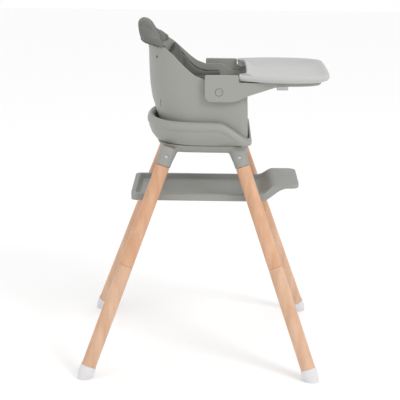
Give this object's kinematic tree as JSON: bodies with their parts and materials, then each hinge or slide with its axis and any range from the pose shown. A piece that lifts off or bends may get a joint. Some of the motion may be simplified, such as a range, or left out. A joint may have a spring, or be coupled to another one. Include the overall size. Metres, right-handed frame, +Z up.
{
  "type": "baby high chair",
  "caption": "Free-standing baby high chair on splayed wooden legs, with a rimmed base, lift-off bucket seat, padded liner, footrest shelf and a sliding tray.",
  "frame": {"origin": "on the floor, below the middle of the whole chair", "axes": "+X is the way the child faces, +Y is the child's left, +Z is up"},
  "size_m": [0.6393, 0.5958, 0.8965],
  "materials": {
    "shell_grey": "satin moulded plastic, warm light grey",
    "tray_grey": "satin moulded plastic, pale grey",
    "white_plastic": "satin moulded plastic, white",
    "beech": "clear satin lacquer over straight-grained beech",
    "liner_grey": "padded, wipe-clean woven cover, dark grey",
    "pad_grey": "light grey padded cover",
    "webbing": "woven black strap",
    "dark_plastic": "black moulded plastic",
    "steel": "zinc-plated steel"
  },
  "bodies": {
    "stand": {"leg_frame": "shell_grey", "base_cup": "shell_grey", "footrest": "shell_grey", "leg_lower_rear_left": "beech", "leg_upper_rear_left": "beech", "leg_stud_rear_left": "steel", "leg_bolt_rear_left": "steel", "footrest_bolt_rear_left": "steel", "base_screw_rear_left": "steel", "foot_cap_rear_left": "white_plastic", "footrest_bracket_rear_left": "shell_grey", "leg_lower_rear_right": "beech", "leg_upper_rear_right": "beech", "leg_stud_rear_right": "steel", "leg_bolt_rear_right": "steel", "footrest_bolt_rear_right": "steel", "base_screw_rear_right": "steel", "foot_cap_rear_right": "white_plastic", "footrest_bracket_rear_right": "shell_grey", "leg_lower_front_left": "beech", "leg_upper_front_left": "beech", "leg_stud_front_left": "steel", "leg_bolt_front_left": "steel", "footrest_bolt_front_left": "steel", "base_screw_front_left": "steel", "foot_cap_front_left": "white_plastic", "footrest_bracket_front_left": "shell_grey", "leg_lower_front_right": "beech", "leg_upper_front_right": "beech", "leg_stud_front_right": "steel", "leg_bolt_front_right": "steel", "footrest_bolt_front_right": "steel", "base_screw_front_right": "steel", "foot_cap_front_right": "white_plastic", "footrest_bracket_front_right": "shell_grey"},
    "seat": {"seat_shell": "shell_grey", "back_liner": "liner_grey", "head_pad": "liner_grey", "seat_pad": "liner_grey", "shoulder_strap_left": "webbing", "shoulder_strap_right": "webbing", "shoulder_pad_left": "pad_grey", "shoulder_pad_right": "pad_grey", "waist_strap_left": "webbing", "waist_strap_right": "webbing", "crotch_strap": "webbing", "buckle": "dark_plastic"},
    "buckle_button": {"buckle_button": "pad_grey"},
    "tray": {"tray_base": "shell_grey", "button_spring_left": "steel", "button_spring_right": "steel"},
    "tray_insert": {"tray_insert": "tray_grey"},
    "tray_button_left": {"tray_button_left": "shell_grey"},
    "tray_button_right": {"tray_button_right": "shell_grey"},
    "insert_latch_left": {"insert_latch_left": "white_plastic"},
    "insert_latch_right": {"insert_latch_right": "white_plastic"}
  },
  "joints": [
    {"name": "seat_lift", "type": "slide", "parent": "stand", "child": "seat", "axis": [0, 0, 1], "range_m": [0, 0.15]},
    {"name": "tray_slide", "type": "slide", "parent": "seat", "child": "tray", "axis": [1, 0, 0], "range_m": [-0.02, 0.16]},
    {"name": "insert_lift", "type": "slide", "parent": "tray", "child": "tray_insert", "axis": [0, 0, 1], "range_m": [0, 0.08]},
    {"name": "tray_button_left_press", "type": "slide", "parent": "tray", "child": "tray_button_left", "axis": [0, -1, 0], "range_m": [0, 0.0025], "stiffness_N_per_m": 1500},
    {"name": "tray_button_right_press", "type": "slide", "parent": "tray", "child": "tray_button_right", "axis": [0, 1, 0], "range_m": [0, 0.0025], "stiffness_N_per_m": 1500},
    {"name": "insert_latch_left_slide", "type": "slide", "parent": "tray", "child": "insert_latch_left", "axis": [0, 1, 0], "range_m": [0, 0.006], "stiffness_N_per_m": 800},
    {"name": "insert_latch_right_slide", "type": "slide", "parent": "tray", "child": "insert_latch_right", "axis": [0, -1, 0], "range_m": [0, 0.006], "stiffness_N_per_m": 800},
    {"name": "buckle_button_press", "type": "slide", "parent": "seat", "child": "buckle_button", "axis": [0, 0, -1], "range_m": [0, 0.002], "stiffness_N_per_m": 1500}
  ]
}
